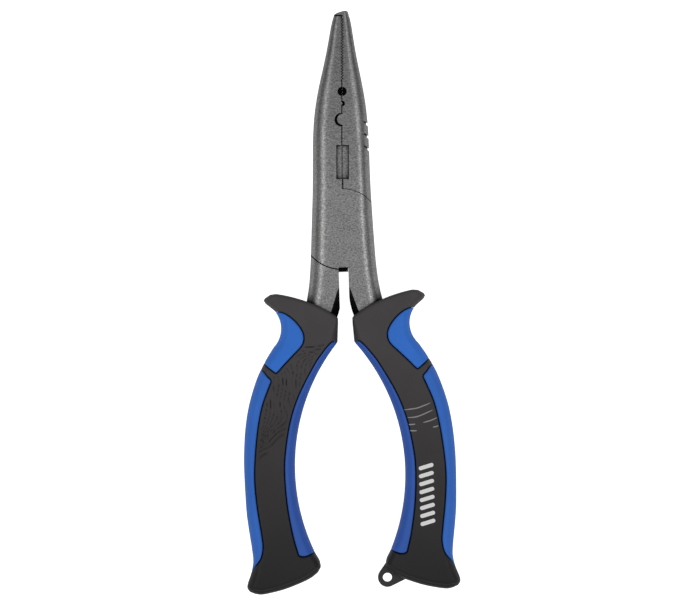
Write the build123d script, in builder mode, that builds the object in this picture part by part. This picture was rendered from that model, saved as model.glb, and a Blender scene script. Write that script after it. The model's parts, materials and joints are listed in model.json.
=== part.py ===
from build123d import *
from math import cos, radians
import os

# Fishing pliers, lying flat: X across, Y towards the jaw tips, Z up through the thickness.
# All sizes are in millimetres.  The origin is under the middle of the tool, on the surface
# that it lies on.

# ---- driving dimensions -------------------------------------------------------------------

PIVOT_X = -3.6            # rivet centre, from the middle of the whole outline
PIVOT_Y = 25.6
GRIP_HALF = 7.25          # half the thickness of a grip; the grips lie on their backs
HANDLE_TILT = 1.9         # the handles' line of symmetry against the line of the jaws, degrees

HOOK_REACH = 75.3         # pivot to the top of the split-ring hook
HOOK_UNDER = 73.8         # pivot to the hook's underside, over the end of the plain jaw
HOOK_END = -2.9           # how far the hook reaches past the parting line
LAND_HALF = 0.5           # the closed jaws meet on a land, this far each way from mid thickness
LAND_GAP = 0.01
JAW_GAP = 0.5             # between the teeth, in front of the land and behind it
FLANK_LEFT = -0.28        # parting faces between the teeth and the cutters, beyond the land
FLANK_RIGHT = 0.14
CUTTER_GAP = 0.08         # between the cutter's sides

LAP_GAP = 0.10            # between the two plates of the lap joint
LAP_RADIUS_JAW = 13.4     # edge of a plate on the jaw side
LAP_RADIUS_TANG = 14.2    # edge of a plate on the tang side
SHOULDER_GAP_JAW = 0.22
SHOULDER_GAP_TANG = 0.4
SLOT_HALF = 1.7           # half the slot between the tangs
SLOT_TOP_FRONT = -13.7
SLOT_TOP_BACK = -15.2
SLOT_SIDE_GAP = 0.1

RIVET_RADIUS = 3.0
RIVET_HEAD_RADIUS = 4.2
RIVET_HEAD_DEPTH = 2.0
RIVET_CLEARANCE = 0.05    # radial, in the half that turns on the rivet

TOOTH_START = 51.2
TOOTH_RUNOUT = 0.6        # plain stretch below the lowest tooth
TOOTH_PITCH = 0.98
TOOTH_COUNT = 22
TOOTH_DEPTH = 0.4         # each way from the parting line

WIRE_HOLE_Y = 47.2
WIRE_HOLE_RADIUS = 1.6
SMALL_CRIMP_Y = 43.0
SMALL_CRIMP_RADIUS = 1.0
SMALL_CRIMP_NIB = 0.35
LARGE_CRIMP_Y = 37.5
LARGE_CRIMP_RADIUS = 1.85
LARGE_CRIMP_CLEARANCE = 0.5

CUTTER_TOP = 28.6
CUTTER_BOTTOM = 16.8
CUTTER_LEFT = -2.0
CUTTER_RIGHT = 2.4
CUTTER_FLOOR = 4.2        # height of the pocket's floor above mid thickness
CUTTER_VEE = 0.15         # half the width of the vee where the two blades meet
SLIT_TOP = 17.5
SLIT_LEFT = -0.1
SLIT_RIGHT = 0.46

NOTCH_COUNT = 3
NOTCH_PITCH = 4.2
NOTCH_Y = 31.6            # the middle one
NOTCH_WIDTH = 0.8
NOTCH_LENGTH = 3.4
NOTCH_DEPTH = 0.55
NOTCH_X = 8.9             # from the rivet centre to the middle of a notch
NOTCH_SLANT = -35         # degrees

TANG_BEVEL_TOP = -20.0    # where the bevel on a tang's inner edge begins
TANG_BEVEL_END = -33.0
TANG_BEVEL_REACH = 4.6    # its width at the end
TANG_KNEES = {1: ((2.9, -30.0), -24.0), -1: ((2.7, -30.8), -27.8)}      # inner bend of each tang
TANG_WIDTH = 5.5
TANG_THICKNESS = 5.5
CORE_WIDTH = 7.8
CORE_THICKNESS = 9.4
TANG_END = 0.90           # of the lower arc
CORE_START = 0.52         # of the upper arc

TAB_THICKNESS = 3.2
EYE = (11.7, -121.6)      # lanyard hole, in the handle frame
EYE_RADIUS = 1.6
TAB_RADIUS = 3.3

GRIP_EDGE = 2.3           # rounding along the front and back edges of a grip
GRIP_CORNER = 2.5         # rounding of the horn and of the butt, seen from the front

DEEP = 20.0               # more than any half thickness, for cuts that go right through
BEYOND = 14.0             # more than any half width of the jaws

# ---- frames -------------------------------------------------------------------------------

JAWS = Plane(origin=(PIVOT_X, PIVOT_Y, GRIP_HALF))      # rivet centre, mid thickness
HANDLES = JAWS.rotated((0, 0, HANDLE_TILT))             # x to the right handle, -y to its butt
HANDLE_MIRROR = Plane(origin=HANDLES.origin, z_dir=HANDLES.x_dir)

os.makedirs("parts", exist_ok=True)


def save(part, name):
    """Label a finished piece and write it as its own STEP file."""
    part.label = name
    export_step(part, f"parts/{name}.step")


# ---- forged head, both halves in one piece ------------------------------------------------

# Along the tool: left edge, left and right ends of the flat top, right edge, half thickness.
HEAD_SECTIONS = [
    (HOOK_REACH, -2.2, -0.9, 0.6, 1.9, 2.3),
    (65.0, -4.75, -1.5, 0.7, 4.05, 2.9),
    (51.2, -7.6, -2.6, 1.8, 6.7, 3.8),
    (37.3, -9.8, -3.8, 3.3, 8.8, 4.7),
    (24.0, -10.2, -4.4, 4.7, 9.5, 5.3),
    (6.0, -10.4, -4.5, 5.4, 10.4, 5.5),
    (-7.8, -10.8, -4.6, 6.3, 11.4, 5.5),
    (-21.7, -11.7, -5.7, 7.7, 13.3, 5.5),
    (-40.0, -15.0, -9.0, 12.5, 18.5, 5.5),
]
QUARTER = (1, cos(radians(45)), 1)      # weights that make a quarter of an ellipse

with BuildPart() as head_blank:
    for along, left, flat_left, flat_right, right, half in HEAD_SECTIONS:
        across = Plane(origin=JAWS.from_local_coords((0, along, 0)), x_dir=(1, 0, 0), z_dir=(0, -1, 0))
        with BuildSketch(across):
            with BuildLine():
                Line((flat_left, half), (flat_right, half))
                Bezier((flat_right, half), (right, half), (right, 0), weights=QUARTER)
                Bezier((right, 0), (right, -half), (flat_right, -half), weights=QUARTER)
                Line((flat_right, -half), (flat_left, -half))
                Bezier((flat_left, -half), (left, -half), (left, 0), weights=QUARTER)
                Bezier((left, 0), (left, half), (flat_left, half), weights=QUARTER)
            make_face()
    loft()


# ---- the two forged halves ----------------------------------------------------------------

def tooth_line(x):
    """The jaws' toothed parting line from its top down, shifted sideways by x."""
    points = []
    for step in range(2 * TOOTH_COUNT, -1, -1):
        side = TOOTH_DEPTH if step % 2 else -TOOTH_DEPTH
        points.append((x + side, TOOTH_START + step * TOOTH_PITCH / 2))
    return points


def parting(flank, cutter, slit):
    """Parting faces from below the teeth down to the lap joint, beyond the land."""
    return [(flank, TOOTH_START - TOOTH_RUNOUT), (flank, CUTTER_TOP), (cutter, CUTTER_TOP),
            (cutter, SLIT_TOP), (slit, SLIT_TOP), (slit, 0)]


def land(x):
    """The plain parting face of the land."""
    return [(x, TOOTH_START - TOOTH_RUNOUT), (x, 0)]


def plain_plan(jaw_gap, below):
    """Plan of the plain half above its tang, as far as the hook that covers its end."""
    end = HOOK_UNDER - jaw_gap
    with BuildSketch() as plan:
        with BuildLine():
            teeth = Polyline(*tooth_line(-jaw_gap / 2))
            Polyline(teeth @ 1, *below, (-BEYOND, 0), (-BEYOND, end), (-jaw_gap / 2, end), teeth @ 0)
        make_face()
    return plan.sketch


def hooked_plan(jaw_gap, below):
    """Plan of the hooked half above its tang."""
    with BuildSketch() as plan:
        with BuildLine():
            teeth = Polyline(*tooth_line(jaw_gap / 2))
            crest = Spline((2.3, 73.6), (1.7, 75.2), (0.6, 75.2), (-1.0, 74.8), (HOOK_END, 74.0))
            Polyline(teeth @ 1, *below, (BEYOND, 0), (BEYOND, TOOTH_START), crest @ 0)
            Polyline(crest @ 1, (HOOK_END, HOOK_UNDER), (jaw_gap / 2, HOOK_UNDER), teeth @ 0)
        make_face()
    return plan.sketch


def lap_disc(grow_jaw=0, grow_tang=0):
    """Plan of a plate of the lap joint, a little larger on the tang side."""
    jaw = LAP_RADIUS_JAW + grow_jaw
    tang = LAP_RADIUS_TANG + grow_tang
    with BuildSketch() as disc:
        with BuildLine():
            CenterArc((0, 0), jaw, 0, 180)
            Line((-jaw, 0), (-tang, 0))
            CenterArc((0, 0), tang, 180, 180)
            Line((tang, 0), (jaw, 0))
        make_face()
    return disc.sketch


def tang_outline(side):
    """Plan of the forged tang inside the collar, for the right (1) or the left (-1) handle."""
    (bend, bend_down), knee = TANG_KNEES[side]
    with BuildSketch() as outline:
        with BuildLine():
            Polyline((side * SLOT_HALF, knee), (side * SLOT_HALF, -5), (side * 22, -5), (side * 22, -24),
                     (side * 15.0, -29.5))
            outer = Spline((side * 15.0, -29.5), (side * 13.4, -34), (side * 14.0, -39.2))
            Line(outer @ 1, (side * 10.2, -42))
            Spline((side * 10.2, -42), (side * 6.2, -36.5), (side * bend, bend_down),
                   (side * SLOT_HALF, knee))
        make_face()
    return outline.sketch


def grip_bar(side, width, thickness, start, end):
    """A bar that follows the middle of a grip; start and end are fractions of its two arcs."""
    with BuildPart() as bar:
        with BuildSketch(HANDLES.offset(-thickness / 2)):
            with BuildLine():
                upper = ThreePointArc((side * 9.6, -37), (side * 17.7, -48.6), (side * 24.2, -62),
                                      mode=Mode.PRIVATE)
                lower = TangentArc(upper @ 1, (side * 23.8, -114.5), tangent=upper % 1, mode=Mode.PRIVATE)
                add(upper.trim(start, 1))
                add(lower.trim(0, end))
            trace(line_width=width)
        extrude(amount=thickness)
    return bar.part


def bevel_cut(side, face):
    """Wedge off a tang's inner edge, growing towards the grip; face is 1 in front, -1 behind."""
    with BuildPart() as wedge:
        for down, reach in ((TANG_BEVEL_TOP, 0.05), (TANG_BEVEL_END, TANG_BEVEL_REACH)):
            inner = side * (SLOT_HALF - 0.4)
            outer = side * (SLOT_HALF + reach)
            depth = 1.1 * reach + 0.1
            with BuildSketch(Plane(HANDLES.from_local_coords((0, down, 0)), x_dir=HANDLES.x_dir,
                                   z_dir=-HANDLES.y_dir)):
                Polygon(
                    (inner, face * 7),
                    (outer, face * 7),
                    (outer, face * 5.5),
                    (inner, face * (5.5 - depth)),
                    align=None,
                )
        loft()
    return wedge.part


def cutter_cut(face):
    """Shallow pocket with the cutter's vee in its floor; face is 1 in front, -1 behind."""
    with BuildPart() as pocket:
        top = JAWS.from_local_coords((0, CUTTER_TOP, 0))
        with BuildSketch(Plane(top, x_dir=(1, 0, 0), z_dir=(0, -1, 0))):
            Polygon(
                (CUTTER_LEFT, face * 7),
                (CUTTER_LEFT, face * CUTTER_FLOOR),
                (-CUTTER_VEE, face * CUTTER_FLOOR),
                (0, face * LAND_HALF),
                (CUTTER_VEE, face * CUTTER_FLOOR),
                (CUTTER_RIGHT, face * CUTTER_FLOOR),
                (CUTTER_RIGHT, face * 7),
                align=None,
            )
        extrude(amount=CUTTER_TOP - CUTTER_BOTTOM)
    return pocket.part


with BuildPart() as shared_cuts:
    for face in (1, -1):
        with BuildSketch(JAWS.offset(face * LAND_HALF)):
            with Locations((0, WIRE_HOLE_Y)):
                Circle(WIRE_HOLE_RADIUS)
        extrude(amount=face * DEEP)
    add(cutter_cut(1))
    add(cutter_cut(-1))
    for handle_side in (1, -1):
        add(bevel_cut(handle_side, 1))
        add(bevel_cut(handle_side, -1))

# Three slanting notches across the outer edge of the hooked jaw.
with BuildPart() as side_notches:
    with BuildSketch(JAWS.offset(-DEEP)):
        for number in range(NOTCH_COUNT):
            with Locations((NOTCH_X, NOTCH_Y + (number - 1) * NOTCH_PITCH)):
                SlotOverall(NOTCH_LENGTH, NOTCH_WIDTH, rotation=NOTCH_SLANT)
    extrude(amount=2 * DEEP)
    add(Pos(-NOTCH_DEPTH, 0, 0) * head_blank.part, mode=Mode.SUBTRACT)

# The rivet has a countersunk head at each end.  It is ground flush with the head's surface.
with BuildPart() as rivet_blank:
    with BuildSketch(Plane(JAWS.origin, x_dir=(1, 0, 0), z_dir=(0, -1, 0))):
        Polygon(
            (0, -7),
            (RIVET_HEAD_RADIUS, -7),
            (RIVET_HEAD_RADIUS, -5.5),
            (RIVET_RADIUS, -5.5 + RIVET_HEAD_DEPTH),
            (RIVET_RADIUS, 5.5 - RIVET_HEAD_DEPTH),
            (RIVET_HEAD_RADIUS, 5.5),
            (RIVET_HEAD_RADIUS, 7),
            (0, 7),
            align=None,
        )
    revolve(axis=Axis(JAWS.origin, (0, 0, 1)))

with BuildPart() as pivot_rivet:
    add(rivet_blank.part)
    add(head_blank.part, mode=Mode.INTERSECT)
save(pivot_rivet.part, "pivot_rivet")

# The rivet's seat in the half that turns on it.
with BuildPart() as rivet_seat:
    with BuildSketch(Plane(JAWS.origin, x_dir=(1, 0, 0), z_dir=(0, -1, 0))):
        Polygon(
            (0, -7),
            (RIVET_HEAD_RADIUS + RIVET_CLEARANCE, -7),
            (RIVET_HEAD_RADIUS + RIVET_CLEARANCE, -5.5),
            (RIVET_RADIUS + RIVET_CLEARANCE, -5.5 + RIVET_HEAD_DEPTH + RIVET_CLEARANCE),
            (RIVET_RADIUS + RIVET_CLEARANCE, 7),
            (0, 7),
            align=None,
        )
    revolve(axis=Axis(JAWS.origin, (0, 0, 1)))

with BuildPart() as plain_jaw_half:
    with BuildSketch(JAWS.offset(-LAND_HALF)):
        add(plain_plan(LAND_GAP, land(-LAND_GAP / 2)))
    extrude(amount=2 * LAND_HALF)
    for face in (1, -1):
        with BuildSketch(JAWS.offset(face * LAND_HALF)):
            add(plain_plan(JAW_GAP, parting(FLANK_LEFT, -CUTTER_GAP / 2, SLIT_LEFT)))
            with Locations((FLANK_LEFT, LARGE_CRIMP_Y - 0.1)):
                Circle(LARGE_CRIMP_RADIUS + LARGE_CRIMP_CLEARANCE, mode=Mode.SUBTRACT)
            with Locations((FLANK_LEFT, SMALL_CRIMP_Y)):
                Circle(SMALL_CRIMP_NIB)
        extrude(amount=face * DEEP)
    with BuildSketch(HANDLES.offset(-DEEP)):
        add(tang_outline(1))
    extrude(amount=2 * DEEP)
    with BuildSketch(JAWS.offset(LAP_GAP / 2)):
        add(lap_disc())
    extrude(amount=DEEP)
    with BuildSketch(HANDLES.offset(-DEEP)):
        with Locations((0, SLOT_TOP_FRONT)):
            Rectangle(2 * SLOT_HALF, 8, align=(Align.CENTER, Align.MAX))
    extrude(amount=2 * DEEP, mode=Mode.SUBTRACT)
    with BuildSketch(JAWS.offset(LAP_GAP / 2)):
        add(lap_disc(SHOULDER_GAP_JAW, SHOULDER_GAP_TANG))
    extrude(amount=-2 * DEEP, mode=Mode.SUBTRACT)
    add(head_blank.part, mode=Mode.INTERSECT)
    add(shared_cuts.part, mode=Mode.SUBTRACT)
    add(rivet_blank.part, mode=Mode.SUBTRACT)
    add(grip_bar(1, TANG_WIDTH, TANG_THICKNESS, 0, TANG_END))
save(plain_jaw_half.part, "plain_jaw_half")

with BuildPart() as hooked_jaw_half:
    with BuildSketch(JAWS.offset(-LAND_HALF)):
        add(hooked_plan(LAND_GAP, land(LAND_GAP / 2)))
    extrude(amount=2 * LAND_HALF)
    for face in (1, -1):
        with BuildSketch(JAWS.offset(face * LAND_HALF)):
            add(hooked_plan(JAW_GAP, parting(FLANK_RIGHT, CUTTER_GAP / 2, SLIT_RIGHT)))
            with Locations((FLANK_RIGHT, LARGE_CRIMP_Y)):
                Circle(LARGE_CRIMP_RADIUS)
            with Locations((0, SMALL_CRIMP_Y)):
                Circle(SMALL_CRIMP_RADIUS, mode=Mode.SUBTRACT)
        extrude(amount=face * DEEP)
    with BuildSketch(HANDLES.offset(-DEEP)):
        add(tang_outline(-1))
    extrude(amount=2 * DEEP)
    with BuildSketch(JAWS.offset(-LAP_GAP / 2)):
        add(lap_disc(SHOULDER_GAP_JAW, SHOULDER_GAP_TANG))
    extrude(amount=2 * DEEP, mode=Mode.SUBTRACT)
    with BuildSketch(JAWS.offset(-LAP_GAP / 2)):
        add(lap_disc())
    extrude(amount=-DEEP)
    with BuildSketch(HANDLES.offset(-LAP_GAP / 2)):
        with Locations((-SLOT_HALF, SLOT_TOP_BACK)):
            Rectangle(2 * SLOT_HALF - SLOT_SIDE_GAP, 8, align=(Align.MIN, Align.MIN))
    extrude(amount=-DEEP)
    add(head_blank.part, mode=Mode.INTERSECT)
    add(shared_cuts.part, mode=Mode.SUBTRACT)
    add(side_notches.part, mode=Mode.SUBTRACT)
    add(rivet_seat.part, mode=Mode.SUBTRACT)
    add(grip_bar(-1, TANG_WIDTH, TANG_THICKNESS, 0, TANG_END))
save(hooked_jaw_half.part, "hooked_jaw_half")


# ---- grips --------------------------------------------------------------------------------

with BuildPart() as grip_blank:
    with BuildSketch(HANDLES.offset(-GRIP_HALF)) as grip_plan:
        with BuildLine():
            collar = ThreePointArc((2.4, -30.7), (12.6, -25.2), (24.2, -22.0))
            hollow = ThreePointArc((24.3, -28.1), (22.3, -33.6), (25.1, -40.6))
            horn = TangentArc(hollow @ 0, (30.4, -24.0), tangent=-(hollow % 0))
            Line(collar @ 1, horn @ 1)
            shoulder = TangentArc(hollow @ 1, (36.0, -70.0), tangent=hollow % 1)
            flank = TangentArc(shoulder @ 1, (34.4, -114.8), tangent=shoulder % 1)
            Polyline(flank @ 1, (38.0, -125.2), (31.5, -126.0))
            sole = ThreePointArc((31.5, -126.0), (20.0, -123.2), (10.2, -117.8))
            inside = ThreePointArc((12.9, -112.6), (19.1, -85.3), (2.9, -39.6))
            Line(sole @ 1, inside @ 0)
            Line(inside @ 1, collar @ 0)
        make_face()
        sharp = [(2.4, -30.7), (30.4, -24.0), (34.4, -114.8), (38.0, -125.2), (10.2, -117.8), (12.9, -112.6),
                 (2.9, -39.6)]
        fillet([grip_plan.vertices().sort_by_distance(point)[0] for point in sharp], GRIP_CORNER)
    extrude(amount=2 * GRIP_HALF)
    fillet(grip_blank.faces().filter_by(Axis.Z).edges(), GRIP_EDGE)

# Plans of the three blue pads, running past the outline of the grip on its outer side.
with BuildSketch() as thumb_plan:
    with BuildLine():
        edge = Spline((25.0, -27.4), (18.6, -30.6), (14.9, -37.6), (18.6, -43.8), (24.0, -49.1))
        Polyline(edge @ 1, (32.0, -42.0), (32.0, -30.0), edge @ 0)
    make_face()

with BuildSketch() as outer_plan:
    with BuildLine():
        edge = Spline((26.5, -52.1), (29.6, -60.2), (32.1, -72.0), (33.1, -87.0), (32.2, -100.0),
                      (31.1, -109.2))
        end = Spline(edge @ 1, (31.8, -113.0), (35.5, -117.5), tangents=[edge % 1, Vector(0.7, -0.7)])
        Polyline(end @ 1, (40.0, -114.0), (40.0, -70.0), (31.5, -48.0), edge @ 0)
    make_face()

with BuildSketch() as inner_plan:
    with BuildLine():
        edge = Spline((5.3, -39.6), (11.2, -47.6), (16.8, -57.9), (20.9, -69.5), (22.6, -84.0),
                      (21.8, -97.0), (18.9, -111.8))
        Polyline(edge @ 1, (16.2, -113.0), (11.0, -111.2), (14.0, -85.0), (0.0, -42.0), (3.2, -39.0),
                 edge @ 0)
    make_face()

PAD_PLANS = {"thumb_pad": thumb_plan, "outer_strip": outer_plan, "inner_strip": inner_plan}


def handed(side, part):
    """The part itself for the right handle, its mirror image for the left."""
    return part if side > 0 else mirror(part, about=HANDLE_MIRROR, mode=Mode.PRIVATE)


def pad(name):
    """One blue pad of the right grip, through its whole thickness."""
    with BuildPart() as piece:
        with BuildSketch(HANDLES.offset(-DEEP)):
            add(PAD_PLANS[name].sketch)
        extrude(amount=2 * DEEP)
        add(grip_blank.part, mode=Mode.INTERSECT)
    return piece.part


def grip_core(side, metal):
    """Hard sleeve round the tang; the right one ends in the tab with the lanyard eye."""
    with BuildPart() as core:
        add(grip_bar(side, CORE_WIDTH, CORE_THICKNESS, CORE_START, 1))
        if side > 0:
            with BuildSketch(HANDLES.offset(-TAB_THICKNESS / 2)):
                with Locations(EYE):
                    Circle(TAB_RADIUS)
                with Locations((14.5, -114.7)):
                    Circle(1.4)
                with Locations((23.0, -115.9), (20.0, -119.2)):
                    Circle(2.0)
                make_hull()
            extrude(amount=TAB_THICKNESS)
            with BuildSketch(HANDLES.offset(-TAB_THICKNESS)):
                with Locations(EYE):
                    Circle(EYE_RADIUS)
            extrude(amount=2 * TAB_THICKNESS, mode=Mode.SUBTRACT)
        add(metal, mode=Mode.SUBTRACT)
    return core.part


def grip_body(side, metal, core, pads):
    """Black grip with room for the tang, its core and the blue pads."""
    with BuildPart() as body:
        add(handed(side, grip_blank.part))
        for piece in (metal, core, *pads):
            add(piece, mode=Mode.SUBTRACT)
    return body.part


for side, word, metal in ((1, "right", plain_jaw_half.part), (-1, "left", hooked_jaw_half.part)):
    core = grip_core(side, metal)
    save(core, f"{word}_grip_core")
    pads = []
    for name in PAD_PLANS:
        piece = handed(side, pad(name))
        save(piece, f"{word}_{name}")
        pads.append(piece)
    save(grip_body(side, metal, core, pads), f"{word}_grip_body")
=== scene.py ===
import json
import math
import bpy
import numpy as np
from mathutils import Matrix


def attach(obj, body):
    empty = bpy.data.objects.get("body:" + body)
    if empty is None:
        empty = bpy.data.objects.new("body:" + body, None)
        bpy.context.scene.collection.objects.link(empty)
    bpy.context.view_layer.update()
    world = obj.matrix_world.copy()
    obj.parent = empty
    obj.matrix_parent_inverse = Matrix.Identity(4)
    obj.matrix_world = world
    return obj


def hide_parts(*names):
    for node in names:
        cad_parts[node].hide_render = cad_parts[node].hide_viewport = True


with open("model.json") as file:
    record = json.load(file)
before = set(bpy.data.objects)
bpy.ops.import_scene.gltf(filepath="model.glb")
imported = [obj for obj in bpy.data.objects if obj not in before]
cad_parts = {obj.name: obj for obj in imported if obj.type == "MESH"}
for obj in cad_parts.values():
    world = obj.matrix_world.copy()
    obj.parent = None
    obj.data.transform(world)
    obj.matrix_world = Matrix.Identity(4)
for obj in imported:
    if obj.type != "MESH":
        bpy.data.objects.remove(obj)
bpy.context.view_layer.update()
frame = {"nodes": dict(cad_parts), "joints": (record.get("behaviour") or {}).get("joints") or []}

MM = 0.001
PIVOT = [c / MM for c in frame["joints"][0]["pos_m"]]
TILT = math.radians(1.9)        # the handles' line of symmetry against the line of the jaws

# ---------------------------------------------------------------- plan curves
# A grip is drawn in mm from the rivet: u runs to the right handle and v away from its butt.
# The left grip is the mirror image of the right one.


def arc(start, middle, end, count=24):
    """Points along the circular arc through three points."""
    (ax, ay), (bx, by), (cx, cy) = start, middle, end
    d = 2 * (ax * (by - cy) + bx * (cy - ay) + cx * (ay - by))
    a2, b2, c2 = ax * ax + ay * ay, bx * bx + by * by, cx * cx + cy * cy
    ux = (a2 * (by - cy) + b2 * (cy - ay) + c2 * (ay - by)) / d
    uy = (a2 * (cx - bx) + b2 * (ax - cx) + c2 * (bx - ax)) / d
    radius = math.hypot(ax - ux, ay - uy)
    first = math.atan2(ay - uy, ax - ux)
    turn = (math.atan2(cy - uy, cx - ux) - first) % (2 * math.pi)
    via = (math.atan2(by - uy, bx - ux) - first) % (2 * math.pi)
    if via > turn:
        turn -= 2 * math.pi
    angle = first + turn * np.linspace(0, 1, count)
    return np.stack((ux + radius * np.cos(angle), uy + radius * np.sin(angle)), 1)


def spline(points, closed=False, count=8):
    """Points along a smooth curve through the given ones."""
    p = np.array(points, float)
    if closed:
        p = np.concatenate((p[-1:], p, p[:2]))
    else:
        p = np.concatenate((2 * p[:1] - p[1:2], p, 2 * p[-1:] - p[-2:-1]))
    t = np.linspace(0, 1, count, endpoint=False)[:, None]
    runs = []
    for a, b, c, d in zip(p[:-3], p[1:-2], p[2:-1], p[3:]):
        runs.append(0.5 * (2 * b + (c - a) * t + (2 * a - 5 * b + 4 * c - d) * t ** 2
                           + (3 * b - a - 3 * c + d) * t ** 3))
    if not closed:
        runs.append(p[-2:-1])
    return np.concatenate(runs)


def inside_distance(loop, u, v):
    """Distance from each point to a closed loop, positive inside it."""
    best = np.full(u.shape, 1e9)
    inside = np.zeros(u.shape, bool)
    for (ax, ay), (bx, by) in zip(loop, np.roll(loop, -1, 0)):
        ex, ey = bx - ax, by - ay
        t = np.clip(((u - ax) * ex + (v - ay) * ey) / (ex * ex + ey * ey + 1e-12), 0, 1)
        best = np.minimum(best, (u - ax - t * ex) ** 2 + (v - ay - t * ey) ** 2)
        if ay != by:
            inside ^= ((ay > v) != (by > v)) & (u < (v - ay) * ex / (by - ay) + ax)
    return np.sqrt(best) * np.where(inside, 1, -1)


def path_distance(path, u, v):
    """Distance from each point to an open path."""
    best = np.full(u.shape, 1e9)
    for (ax, ay), (bx, by) in zip(path[:-1], path[1:]):
        ex, ey = bx - ax, by - ay
        t = np.clip(((u - ax) * ex + (v - ay) * ey) / (ex * ex + ey * ey + 1e-12), 0, 1)
        best = np.minimum(best, (u - ax - t * ex) ** 2 + (v - ay - t * ey) ** 2)
    return np.sqrt(best)


def step_up(low, high, x):
    """0 below low, 1 above high and a smooth rise between them."""
    t = np.clip((x - low) / (high - low), 0, 1)
    return t * t * (3 - 2 * t)


def soft_max(a, b, k):
    """The larger of two fields, with their crease rounded over k."""
    h = np.clip(k - np.abs(a - b), 0, None)
    return np.maximum(a, b) + h * h / (4 * k)


COLLAR = arc((3.3, -30.2), (12.6, -25.3), (23.6, -22.1))
HOLLOW = arc((24.6, -27.7), (22.3, -33.6), (25.1, -40.6))
OUTER_SIDE = spline([(25.1, -40.6), (27.9, -44.9), (30.9, -50.5), (33.2, -56.7), (34.9, -63.0),
                     (36.0, -70.0), (36.6, -78.0), (36.7, -84.0), (36.6, -90.0), (36.3, -98.0),
                     (35.6, -104.5), (34.9, -110.0), (34.6, -114.5), (35.4, -118.4), (36.7, -121.9),
                     (36.9, -123.6), (36.1, -124.9)])
SOLE = spline([(34.3, -125.7), (31.5, -126.0), (24.9, -124.7), (19.2, -122.8), (14.9, -120.9),
               (12.3, -119.0)])
TOE = spline([(11.2, -117.2), (11.7, -115.0), (13.0, -112.6)])
INSIDE = arc((13.0, -112.6), (19.1, -85.3), (2.9, -39.6), 48)
HORN_TIP = [(25.6, -22.3), (27.6, -23.5), (28.0, -24.3), (27.4, -25.4)]
INNER_EDGE = [(2.5, -33.0), (2.5, -31.2)]
GRIP = np.concatenate((COLLAR, HORN_TIP, HOLLOW, OUTER_SIDE[1:], SOLE, TOE, INSIDE[1:], INNER_EDGE))
PAD = spline([(25.0, -28.4), (21.4, -28.9), (17.9, -31.4), (15.3, -34.8), (14.6, -37.6), (15.4, -40.2),
              (18.4, -43.3), (22.0, -46.9), (23.9, -48.9), (25.2, -48.9), (30.5, -43.5), (32.0, -36.0),
              (29.0, -29.5)], closed=True)
OUTER = spline([(31.5, -47.3), (27.4, -50.9), (26.4, -52.2), (27.0, -53.7), (29.6, -60.2),
                (31.1, -66.3), (32.1, -72.5), (33.0, -81.0), (33.2, -87.5), (32.6, -96.0),
                (31.5, -104.6), (31.1, -109.2), (31.8, -112.9), (33.6, -115.6), (36.5, -118.6),
                (40.5, -112.0), (41.0, -80.0), (37.5, -55.0)], closed=True)
INNER = spline([(2.0, -40.6), (4.1, -39.4), (5.3, -39.9), (8.0, -42.9), (11.2, -47.4),
                (16.6, -57.2), (19.9, -66.2), (21.9, -76.5), (22.5, -84.5), (21.9, -95.5),
                (20.4, -105.3), (18.9, -111.4), (18.3, -112.7), (16.2, -112.9), (12.6, -111.4),
                (9.5, -109.0), (14.5, -88.0), (10.0, -65.0), (2.0, -46.0)], closed=True)

# ---------------------------------------------------------------- moulded grips as sampled solids
# A solid is a field on a grid: millimetres outside its surface, negative inside.

HALF = 7.25                     # half the thickness of a grip
STEP = 0.3                      # of the grid
U_SPAN = (0.6, 39.6)
V_SPAN = (-128.4, -19.8)
Z_SPAN = (-8.4, 8.4)

EDGE_WIDE, EDGE_TALL = 1.3, 1.5             # a grip's rounded edge at its collar
EDGE_MORE_WIDE, EDGE_MORE_TALL = 2.0, 2.6   # what the rounding gains away from the collar
COLLAR_FADE = (1.0, 8.0)                    # where it gains it, from the collar's edge
CROWN_DROP, CROWN_REACH = 0.35, 8.8         # how the upper face falls towards its sides
HORN_DROOP = 1.7                            # how far the thumb horn's tip is thinner
HORN_U, HORN_V = (22.5, 28.5), (-32.0, -27.5)
RIM_DEPTH, RIM_INSET, RIM_WIDTH = 0.22, 1.3, 0.4    # the groove along the butt

GAP = 0.26                      # groove between black and blue
SEAT = 1.2                      # depth of an inlay
PROUD = 0.28                    # how far its middle stands up
PARTING = 0.05                  # least rounding of the creases, at a grip's edge

LINE_SPACING, LINE_DEPTH, LINE_SHARPNESS = 1.45, 0.38, 5    # engraved flowing lines
LOWEST_AT, LOWEST_ACROSS = (22.0, -72.2), (7.5, 9.6)        # a point on the lowest, and its normal
LINES_TOP = -39.2

grid_u = np.arange(*U_SPAN, STEP)
grid_v = np.arange(*V_SPAN, STEP)
grid_z = np.arange(*Z_SPAN, STEP)
U, V = np.meshgrid(grid_u, grid_v, indexing="ij")


def smooth_side(u, v):
    """Plan distance from the grip's edge, its rounding there, and the height of the crown."""
    d = inside_distance(GRIP, u, v)
    clear = step_up(*COLLAR_FADE, path_distance(COLLAR, u, v))
    wide = EDGE_WIDE + EDGE_MORE_WIDE * clear
    tall = EDGE_TALL + EDGE_MORE_TALL * clear
    droop = HORN_DROOP * step_up(*HORN_U, u) * step_up(*HORN_V, v)
    crown = HALF - CROWN_DROP * (1 - np.clip(d / CROWN_REACH, 0, 1)) ** 2 * clear - droop
    return d, wide, tall, crown


def grip_field(d, wide, tall, crown, z):
    """Field of the whole grip, before anything is cut into it."""
    side = np.clip(wide - d, 0, None) / wide
    rise = np.clip(np.abs(z) - (crown - tall), 0, None) / tall
    return (np.sqrt(side ** 2 + rise ** 2) - 1) * tall


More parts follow.
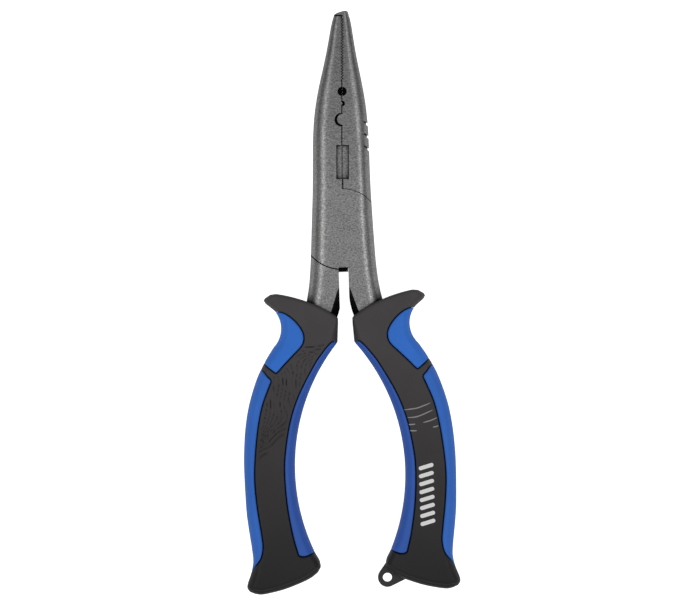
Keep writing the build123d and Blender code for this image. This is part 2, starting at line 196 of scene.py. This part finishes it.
def top_of(u, v):
    """Height of the grip's upper face over the middle plane."""
    d, wide, tall, crown = smooth_side(u, v)
    side = np.clip(wide - d, 0, None) / wide
    return crown - tall + tall * np.sqrt(np.clip(1 - side ** 2, 0, 1))


def flow_lines(u, v):
    """Depth of the lines engraved in the left grip's upper band: across it, then down, then slanting."""
    (at_u, at_v), (over_u, over_v) = LOWEST_AT, LOWEST_ACROSS
    low = ((u - at_u) * over_u + (v - at_v) * over_v) / math.hypot(over_u, over_v)
    slanting = 0.95 * low
    down = u - 17.1
    across = v + 44.9
    flow = slanting + (down - slanting) * step_up(2, 10, low)
    flow += (across - flow) * step_up(-50, -41, v)
    flow += 0.5 * np.sin(v / 3.9 + u / 2.7) + 0.3 * np.sin(v / 2.1 - u / 1.9 + 1.0)
    line = (0.5 + 0.5 * np.cos(2 * math.pi * flow / LINE_SPACING)) ** LINE_SHARPNESS
    band = step_up(-0.3, 0.3, low) * step_up(0.0, 1.0, LINES_TOP - v)
    return LINE_DEPTH * line * band


def skin(field):
    """Vertices and faces on the zero level of a field that is negative inside the solid."""
    inside = field < 0
    cells = np.array(field.shape) - 1
    owner, place, faces = [], [], []
    for axis in range(3):
        b, c = (axis + 1) % 3, (axis + 2) % 3
        low, high = [slice(None)] * 3, [slice(None)] * 3
        low[axis], high[axis] = slice(0, -1), slice(1, None)
        at = np.array(np.nonzero(inside[tuple(low)] != inside[tuple(high)]))
        after = at.copy()
        after[axis] += 1
        f0, f1 = field[tuple(at)], field[tuple(after)]
        p = at.astype(float)
        p[axis] += f0 / (f0 - f1)
        ring = []
        for db, dc in ((0, 0), (-1, 0), (-1, -1), (0, -1)):
            cell = at.copy()
            cell[b] += db
            cell[c] += dc
            flat = (cell[0] * cells[1] + cell[1]) * cells[2] + cell[2]
            ring.append(flat)
            owner.append(flat)
            place.append(p)
        quad = np.stack(ring, 1)
        outward = f0 < 0
        faces.append(np.where(outward[:, None], quad, quad[:, ::-1]))
    ids, where = np.unique(np.concatenate(owner), return_inverse=True)
    place = np.concatenate(place, 1)
    number = np.bincount(where)
    verts = np.stack([np.bincount(where, place[k]) / number for k in range(3)], 1)
    return verts, np.searchsorted(ids, np.concatenate(faces))


def to_frame(points, mirrored):
    """Metres in the shared frame from (u, v, z) in mm, z from mid thickness."""
    u, v, z = points[:, 0], points[:, 1], points[:, 2]
    if mirrored:
        u = -u
    x = PIVOT[0] + u * math.cos(TILT) - v * math.sin(TILT)
    y = PIVOT[1] + u * math.sin(TILT) + v * math.cos(TILT)
    return np.stack((x, y, z + PIVOT[2]), 1) * MM


def make_mesh(name, verts, faces, material, smooth=True):
    """A new object in the scene."""
    mesh = bpy.data.meshes.new(name)
    mesh.from_pydata(verts.tolist(), [], faces.tolist())
    mesh.polygons.foreach_set("use_smooth", [smooth] * len(mesh.polygons))
    mesh.materials.append(material)
    mesh.update()
    piece = bpy.data.objects.new(name, mesh)
    bpy.context.scene.collection.objects.link(piece)
    return piece


def solid(name, field, mirrored, material):
    """A smooth mesh of one field."""
    verts, faces = skin(field)
    origin = np.array((U_SPAN[0], V_SPAN[0], Z_SPAN[0]))
    verts = to_frame(origin + verts * STEP, mirrored)
    if mirrored:
        faces = faces[:, ::-1]
    return make_mesh(name, verts, faces, material)


# ---------------------------------------------------------------- materials

# Lengths in metres.
CREVICE_REACH = 0.006           # how far apart two steel faces still darken each other with painted shade
NOSE_FADE = (0.040, 0.090)      # Y of the stretch where painted shade darkens the steel towards the nose
BUTT_FADE = (-0.100, -0.010)    # Y of the stretch where painted shade darkens the black towards the butt
FINE_PORE = 0.00002
TANGS_X, TANGS_Y = -0.002, -0.006           # middle of the bare tangs
TANGS_HALF_X = (0.006, 0.008)               # from it, where their inner faces end
TANGS_HALF_Y = (0.010, 0.013)


def set_range(node, low, high, out_low, out_high):
    """The four numbers of a Map Range node."""
    node.inputs["From Min"].default_value = low
    node.inputs["From Max"].default_value = high
    node.inputs["To Min"].default_value = out_low
    node.inputs["To Max"].default_value = out_high


class Paint:
    """A material whose nodes are added one call at a time."""

    def __init__(self, name):
        self.material = bpy.data.materials.new(name)
        self.material.use_nodes = True
        self.tree = self.material.node_tree
        self.shader = self.tree.nodes["Principled BSDF"]
        self.place = self.tree.nodes.new("ShaderNodeTexCoord").outputs["Object"]

    def link(self, source, target):
        self.tree.links.new(source, target)

    def noise(self, scale, detail=2.0, rough=0.5, stretch=None):
        """Soft random values, stretched along the axes if asked."""
        node = self.tree.nodes.new("ShaderNodeTexNoise")
        node.inputs["Scale"].default_value = scale
        node.inputs["Detail"].default_value = detail
        node.inputs["Roughness"].default_value = rough
        place = self.place
        if stretch:
            mapping = self.tree.nodes.new("ShaderNodeMapping")
            mapping.inputs["Scale"].default_value = stretch
            self.link(place, mapping.inputs["Vector"])
            place = mapping.outputs["Vector"]
        self.link(place, node.inputs["Vector"])
        return node.outputs["Fac"]

    def ramp(self, value, stops):
        """A colour for each value, from (place, colour) stops."""
        node = self.tree.nodes.new("ShaderNodeValToRGB")
        band = node.color_ramp
        while len(band.elements) < len(stops):
            band.elements.new(0.5)
        for element, (at, colour) in zip(band.elements, stops):
            element.position = at
            element.color = (*colour, 1.0)
        self.link(value, node.inputs["Fac"])
        return node.outputs["Color"]

    def spread(self, value, low, high, out_low, out_high):
        """One span of values mapped onto another and held beyond its ends."""
        node = self.tree.nodes.new("ShaderNodeMapRange")
        set_range(node, low, high, out_low, out_high)
        self.link(value, node.inputs["Value"])
        return node.outputs["Result"]

    def crevice_shade(self, reach):
        """Painted shade from ambient occlusion: 0 deep inside a gap to 1 on an open face."""
        node = self.tree.nodes.new("ShaderNodeAmbientOcclusion")
        node.samples = 8
        node.inputs["Distance"].default_value = reach
        return node.outputs["AO"]

    def height_along(self, low, high):
        """0 to 1 from one Y to another, in metres."""
        split = self.tree.nodes.new("ShaderNodeSeparateXYZ")
        self.link(self.place, split.inputs["Vector"])
        return self.spread(split.outputs["Y"], low, high, 0.0, 1.0)

    def away(self, vector, axis, centre):
        """How far one component of a vector is from a value, either way."""
        split = self.tree.nodes.new("ShaderNodeSeparateXYZ")
        self.link(vector, split.inputs["Vector"])
        shifted = self.tree.nodes.new("ShaderNodeMath")
        shifted.operation = "SUBTRACT"
        self.link(split.outputs[axis], shifted.inputs[0])
        shifted.inputs[1].default_value = centre
        size = self.tree.nodes.new("ShaderNodeMath")
        size.operation = "ABSOLUTE"
        self.link(shifted.outputs["Value"], size.inputs[0])
        return size.outputs["Value"]

    def times(self, first, second):
        """The product of two colours."""
        node = self.tree.nodes.new("ShaderNodeMix")
        node.data_type = "RGBA"
        node.blend_type = "MULTIPLY"
        sockets = {socket.identifier: socket for socket in (*node.inputs, *node.outputs)}
        sockets["Factor_Float"].default_value = 1.0
        self.link(first, sockets["A_Color"])
        self.link(second, sockets["B_Color"])
        return sockets["Result_Color"]

    def bump(self, *layers):
        """Relief from (value, strength, distance) layers."""
        normal = None
        for value, strength, distance in layers:
            node = self.tree.nodes.new("ShaderNodeBump")
            node.inputs["Strength"].default_value = strength
            node.inputs["Distance"].default_value = distance
            self.link(value, node.inputs["Height"])
            if normal is not None:
                self.link(normal, node.inputs["Normal"])
            normal = node.outputs["Normal"]
        self.link(normal, self.shader.inputs["Normal"])

    def put(self, key, value):
        """Set one input of the shader, from a constant or another node."""
        if hasattr(value, "is_output"):
            self.link(value, self.shader.inputs[key])
        else:
            self.shader.inputs[key].default_value = value


def grey(value):
    return (value, value, value)


def shaded(paint, colour, value, dark_at, dark, light_at=1.0):
    """A colour multiplied by dark where the value is dark_at, rising to 1 at light_at."""
    stops = sorted(((dark_at, grey(dark)), (light_at, grey(1.0))))
    return paint.times(colour, paint.ramp(value, stops))


def tang_wall_shade(paint):
    """Mask for painted shade: 1 on the sloping faces between the tangs and 0 elsewhere."""
    normal = paint.tree.nodes.new("ShaderNodeTexCoord").outputs["Normal"]
    sloping = paint.spread(paint.away(normal, "Z", 0.0), 0.97, 0.85, 0.0, 1.0)
    between = paint.spread(paint.away(paint.place, "X", TANGS_X), *TANGS_HALF_X, 1.0, 0.0)
    along = paint.spread(paint.away(paint.place, "Y", TANGS_Y), *TANGS_HALF_Y, 1.0, 0.0)
    return paint.times(paint.times(sloping, between), along)


def metal(name, dark, light, rough):
    """Blasted metal: a fine speckle and soft clouds, with painted shade towards the nose, where the surface
    is closed in and on the sloping faces between the tangs.
    """
    paint = Paint(name)
    cloud = paint.noise(150, 3, 0.6)
    grain = paint.noise(2500, 5, 0.75, stretch=(0.6, 1.0, 1.0))
    fine = paint.noise(6000, 2, 0.5)
    shade = paint.ramp(grain, ((0.40, dark), (0.60, light)))
    shade = shaded(paint, shade, cloud, 0.3, 0.88, 0.7)
    # Painted shade where the steel is closed in.
    shade = shaded(paint, shade, paint.crevice_shade(CREVICE_REACH), 0.48, 0.02, 0.88)
    # Painted shade darkening the steel towards the nose.
    shade = shaded(paint, shade, paint.height_along(*NOSE_FADE), 1.0, 0.74, 0.0)
    # Painted shade on the sloping faces between the tangs.
    paint.put("Base Color", shaded(paint, shade, tang_wall_shade(paint), 1.0, 0.14, 0.0))
    paint.put("Metallic", 1.0)
    paint.put("Roughness", paint.spread(grain, 0.3, 0.7, rough + 0.06, rough - 0.06))
    paint.bump((grain, 0.5, 0.00005), (fine, 0.3, FINE_PORE))
    return paint.material


def moulded(name, dark, light, rough, specular, pore=0.00006, butt_shade=1.0, groove=None):
    """Rubber or plastic, with painted shade darkening it towards the butt, and painted shade in its grooves
    over the reach given as groove.
    """
    paint = Paint(name)
    cloud = paint.noise(90, 3, 0.55)
    pores = paint.noise(2400, 3, 0.6)
    fine = paint.noise(7000, 2, 0.5)
    colour = paint.ramp(cloud, ((0.3, dark), (0.7, light)))
    # Painted shade darkening the material towards the butt.
    if butt_shade < 1:
        colour = shaded(paint, colour, paint.height_along(*BUTT_FADE), 0.0, butt_shade)
    # Painted shade in the grooves.
    if groove:
        colour = shaded(paint, colour, paint.crevice_shade(groove), 0.45, 0.2, 0.92)
    paint.put("Base Color", colour)
    paint.put("Roughness", paint.spread(pores, 0.3, 0.7, rough - 0.06, rough + 0.06))
    paint.put("Specular IOR Level", specular)
    paint.bump((pores, 0.22, pore), (fine, 0.18, FINE_PORE))
    return paint.material


STEEL_DARK, STEEL_LIGHT = (0.20, 0.198, 0.198), (0.50, 0.496, 0.493)
STEEL = metal("blasted_steel", STEEL_DARK, STEEL_LIGHT, 0.33)
RIVET = metal("turned_rivet", STEEL_DARK, STEEL_LIGHT, 0.31)
# The black rubber carries painted shade towards the butt and in its grooves.
BLACK = moulded("black_rubber", (0.065, 0.058, 0.060), (0.074, 0.066, 0.069), 0.50, 0.32,
                butt_shade=0.17, groove=0.0016)
CORE = moulded("black_plastic", (0.024, 0.023, 0.024), (0.031, 0.030, 0.031), 0.42, 0.5)
# One blue rubber: the outer and inner strips are darker copies of the pad's blue, which is painted shade.
BLUE_PAD = moulded("blue_rubber_pad", (0.034, 0.192, 0.74), (0.041, 0.212, 0.81), 0.50, 0.25)
BLUE_OUT = moulded("blue_rubber_outer", (0.036, 0.172, 0.66), (0.043, 0.190, 0.72), 0.50, 0.25)
BLUE_IN = moulded("blue_rubber_inner", (0.038, 0.128, 0.52), (0.045, 0.142, 0.57), 0.50, 0.25)
WHITE = moulded("white_print", grey(0.93), grey(0.97), 0.5, 0.4, FINE_PORE)
SILVER = moulded("grey_print", grey(0.30), grey(0.38), 0.45, 0.4, FINE_PORE)

CAD_LOOKS = {"plain_jaw_half": STEEL, "hooked_jaw_half": STEEL, "pivot_rivet": RIVET,
             "left_grip_core": CORE, "right_grip_core": CORE}
for node, look in CAD_LOOKS.items():
    frame["nodes"][node].data.materials.clear()
    frame["nodes"][node].data.materials.append(look)

# ---------------------------------------------------------------- grips

depth, wide, tall, crown = smooth_side(U, V)
z = grid_z[None, None, :]
base = grip_field(depth[:, :, None], wide[:, :, None], tall[:, :, None], crown[:, :, None], z)
zones = {"thumb_pad": inside_distance(PAD, U, V), "outer_strip": inside_distance(OUTER, U, V),
         "inner_strip": inside_distance(INNER, U, V)}
any_zone = np.maximum.reduce(list(zones.values()))
rim = RIM_DEPTH * np.exp(-((path_distance(SOLE, U, V) - RIM_INSET) / RIM_WIDTH) ** 2)
rim *= step_up(0.4, 1.2, depth)
lift = PROUD * step_up(0.4, 3.0, depth)
open_seam = step_up(0.1, 1.6, depth)[:, :, None]
BLUES = {"thumb_pad": BLUE_PAD, "outer_strip": BLUE_OUT, "inner_strip": BLUE_IN}

for side, body, mirrored in (("left", "hooked_half", True), ("right", "plain_half", False)):
    cut = rim + flow_lines(U, V) * step_up(0.6, 1.6, -any_zone) if mirrored else rim
    shell = base + cut[:, :, None]
    channel = np.minimum(any_zone[:, :, None] + GAP * open_seam, base + SEAT)
    grip = solid(side + "_grip", soft_max(shell, channel, PARTING + 0.5 * open_seam), mirrored, BLACK)
    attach(grip, body)
    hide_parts(side + "_grip_body")
    for zone, inset in zones.items():
        cap = soft_max(base - lift[:, :, None], -inset[:, :, None], PARTING + 0.75 * open_seam)
        underside = -(base + SEAT - PARTING)
        inlay = solid(side + "_blue_" + zone, np.maximum(cap, underside), mirrored, BLUES[zone])
        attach(inlay, body)
        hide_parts(side + "_" + zone)

# ---------------------------------------------------------------- printed lines and bars on the right grip


def ribbon(name, strokes, mirrored, material, rise=0.05):
    """Thin printed strokes on a grip's upper face; a stroke is two rows of points, one along each edge."""
    verts, faces = [], []
    for left, right in strokes:
        rows = [left + (right - left) * share for share in (0, 0.25, 0.5, 0.75, 1)]
        count, width = len(left), len(rows)
        for offset in (rise, -rise):
            first = len(verts)
            for row in rows:
                verts += [(u, v, t + offset) for (u, v), t in zip(row, top_of(row[:, 0], row[:, 1]))]
            for r in range(width - 1):
                for i in range(count - 1):
                    a, b = first + r * count + i, first + (r + 1) * count + i
                    quad = [a, b, b + 1, a + 1]
                    faces.append(quad if offset < 0 else quad[::-1])
        lower, upper = first, first - width * count
        edge = ([r * count for r in range(width)] + [(width - 1) * count + i for i in range(1, count)]
                + [r * count + count - 1 for r in range(width - 2, -1, -1)] + list(range(count - 2, 0, -1)))
        for here, there in zip(edge, edge[1:] + edge[:1]):
            faces.append([upper + there, upper + here, lower + here, lower + there])
    return make_mesh(name, to_frame(np.array(verts), mirrored), np.array(faces), material, smooth=False)


def stroke(points, width, ends):
    """The two edges of a drawn line; its ends narrow over the given share of its length."""
    p = spline(points, count=10)
    way = np.gradient(p, axis=0)
    way /= np.linalg.norm(way, axis=1)[:, None]
    across = np.stack((-way[:, 1], way[:, 0]), 1)
    run = np.concatenate(([0], np.cumsum(np.linalg.norm(np.diff(p, axis=0), axis=1))))
    near_end = np.clip(np.minimum(run, run[-1] - run) / (run[-1] * ends), 0, 1)
    half = width / 2 * np.sqrt(np.clip(1 - (1 - near_end) ** 2, 0.05, 1))[:, None]
    return p - across * half, p + across * half


SWEEPS = ([(19.2, -63.6), (23.2, -63.2), (25.4, -62.6), (28.6, -61.4)],
          [(20.3, -66.3), (23.9, -66.0), (29.3, -63.9)],
          [(20.7, -68.7), (22.0, -68.7), (23.0, -68.6)],
          [(25.7, -68.2), (28.4, -67.5), (30.6, -66.6)],
          [(21.1, -70.8), (22.4, -70.9), (23.5, -70.9)],
          [(29.0, -69.9), (30.1, -69.7), (31.0, -69.4)])
SWEEP_WIDTH = 0.4
BAR_COUNT, BAR_PITCH, BAR_WIDTH, BAR_LEAN = 8, 2.75, 1.35, 1.4
BAR_SPAN = (23.7, 28.8)
BAR_FIRST = -83.4               # v of the first bar's middle


def bar_path(index):
    """The middle line of one of the slanting bars."""
    centre = BAR_FIRST - index * BAR_PITCH
    return [(u, centre + BAR_LEAN * share) for u, share in
            zip(np.linspace(*BAR_SPAN, 5), np.linspace(-0.5, 0.5, 5))]


sweep_strokes = [stroke(path, SWEEP_WIDTH, 0.3) for path in SWEEPS]
sweeps = ribbon("right_swept_lines", sweep_strokes, False, SILVER)
bar_strokes = [stroke(bar_path(index), BAR_WIDTH, 0.12) for index in range(BAR_COUNT)]
bars = ribbon("right_bar_motif", bar_strokes, False, WHITE)
for printed in (sweeps, bars):
    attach(printed, "plain_half")

# ---------------------------------------------------------------- floor, light and camera

floor_paint = Paint("pale_paper")
paper = floor_paint.ramp(floor_paint.noise(60, 3), ((0.3, grey(0.86)), (0.7, grey(0.88))))
floor_paint.put("Base Color", paper)
floor_paint.put("Roughness", 0.9)
floor_paint.put("Specular IOR Level", 0.1)
floor_paint.put("Emission Color", (1.0, 1.0, 1.0, 1.0))
# The paper looks fully white in the picture and sheds only a little light on the tool.
seen = floor_paint.tree.nodes.new("ShaderNodeLightPath").outputs["Is Camera Ray"]
floor_paint.put("Emission Strength", floor_paint.spread(seen, 0.0, 1.0, 0.1, 1.0))
FLOOR_HALF = 2.5
FLOOR_Z = -0.0003               # just below the lowest inlay
corners = np.array([(x * FLOOR_HALF, y * FLOOR_HALF, FLOOR_Z) for x, y in
                    ((-1, -1), (1, -1), (1, 1), (-1, 1))])
floor = make_mesh("floor", corners, np.array([(0, 1, 2, 3)]), floor_paint.material, smooth=False)

# White surroundings, brightest overhead and dimmer towards the tips.
SKY_FADES = (("Z", 0.15, 0.8, 0.22, 0.64), ("Y", 0.0, 0.16, 1.0, 0.72))
world = bpy.data.worlds.new("studio")
world.use_nodes = True
sky = world.node_tree
background = sky.nodes["Background"]
background.inputs["Color"].default_value = (1.0, 1.0, 1.0, 1.0)
split = sky.nodes.new("ShaderNodeSeparateXYZ")
sky.links.new(sky.nodes.new("ShaderNodeTexCoord").outputs["Generated"], split.inputs["Vector"])
product = sky.nodes.new("ShaderNodeMath")
product.operation = "MULTIPLY"
for slot, (axis, low, high, out_low, out_high) in enumerate(SKY_FADES):
    fade = sky.nodes.new("ShaderNodeMapRange")
    set_range(fade, low, high, out_low, out_high)
    sky.links.new(split.outputs[axis], fade.inputs["Value"])
    sky.links.new(fade.outputs["Result"], product.inputs[slot])
sky.links.new(product.outputs["Value"], background.inputs["Strength"])
bpy.context.scene.world = world

BOX_X, BOX_Z = 0.72, 0.88       # metres
BOX_LENGTH, BOX_WIDTH = 1.5, 0.34
BOX_POWER = 1.9                 # watts


def softbox(name, x):
    """An area light beside the tool, turned to it, with its length along the tool."""
    lamp = bpy.data.lights.new(name, "AREA")
    lamp.shape = "RECTANGLE"
    lamp.size, lamp.size_y = BOX_LENGTH, BOX_WIDTH
    lamp.energy = BOX_POWER
    box = bpy.data.objects.new(name, lamp)
    box.location = (x, 0.0, BOX_Z)
    box.rotation_euler = (-box.location).to_track_quat("-Z", "Y").to_euler()
    bpy.context.scene.collection.objects.link(box)


softbox("softbox_left", -BOX_X)
softbox("softbox_right", BOX_X)

VIEW_LENS, VIEW_SENSOR = 200.0, 36.0        # mm
VIEW_WIDTH = 0.2429                         # metres across the picture at mid thickness
VIEW_CENTRE = (-0.00086, 0.00062)           # X and Y in the middle of the picture
camera_data = bpy.data.cameras.new("camera")
camera_data.lens = VIEW_LENS
camera_data.sensor_width = VIEW_SENSOR
camera_data.clip_start = 0.05
camera_data.clip_end = 10.0
camera = bpy.data.objects.new("camera", camera_data)
camera.location = (*VIEW_CENTRE, PIVOT[2] * MM + VIEW_WIDTH * VIEW_LENS / VIEW_SENSOR)
bpy.context.scene.collection.objects.link(camera)
bpy.context.scene.camera = camera
bpy.context.scene.view_settings.view_transform = "Standard"
